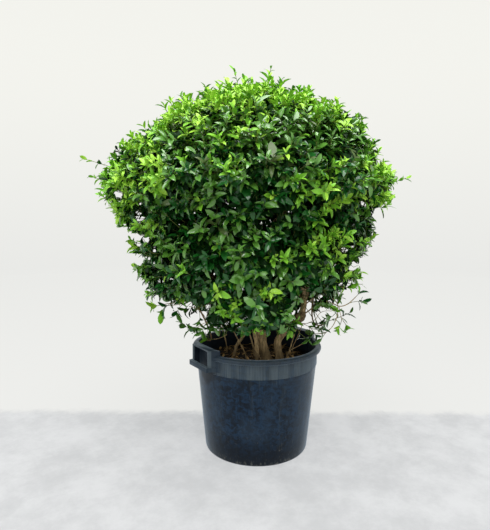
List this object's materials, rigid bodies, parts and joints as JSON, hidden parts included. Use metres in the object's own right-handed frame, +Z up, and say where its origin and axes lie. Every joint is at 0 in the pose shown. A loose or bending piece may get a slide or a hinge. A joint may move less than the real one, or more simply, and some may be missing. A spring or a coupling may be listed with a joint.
{
  "type": "potted fukien tea topiary",
  "caption": "Clipped evergreen shrub with a broad domed crown on bare stems, in a round plastic nursery pot with moulded handles.",
  "frame": {"origin": "centre of the pot's flat underside", "axes": "+Z up along the pot's axis, X through the pot's two handles, the picture's view from between -X and -Y"},
  "size_m": [0.9355, 0.9247, 1.1853],
  "materials": {
    "pot": "weathered blue-black moulded plastic, dusty at the rim",
    "soil": "dark potting soil with dry roots and litter",
    "bark": "pale tan-brown bark",
    "foliage": "glossy mid-green leaves with yellow-green new growth"
  },
  "bodies": {
    "root": {"pot": "pot", "soil": "soil", "trunk": "bark", "stem_right": "bark", "stem_left": "bark", "stem_front": "bark", "stem_back": "bark", "bough_upper_back_right": "bark", "bough_upper_back_left": "bark", "bough_upper_front_left": "bark", "bough_lower_front_right": "bark", "bough_lower_right": "bark", "bough_lower_back_right": "bark", "bough_lower_back_left": "bark", "bough_lower_front_left": "bark", "foliage_top": "foliage", "foliage_upper_front": "foliage", "foliage_upper_front_right": "foliage", "foliage_upper_back_right": "foliage", "foliage_upper_back": "foliage", "foliage_upper_back_left": "foliage", "foliage_upper_front_left": "foliage", "foliage_lower_front_right": "foliage", "foliage_lower_right": "foliage", "foliage_lower_back_right": "foliage", "foliage_lower_back_left": "foliage", "foliage_lower_left": "foliage", "foliage_lower_front_left": "foliage"}
  },
  "joints": []
}
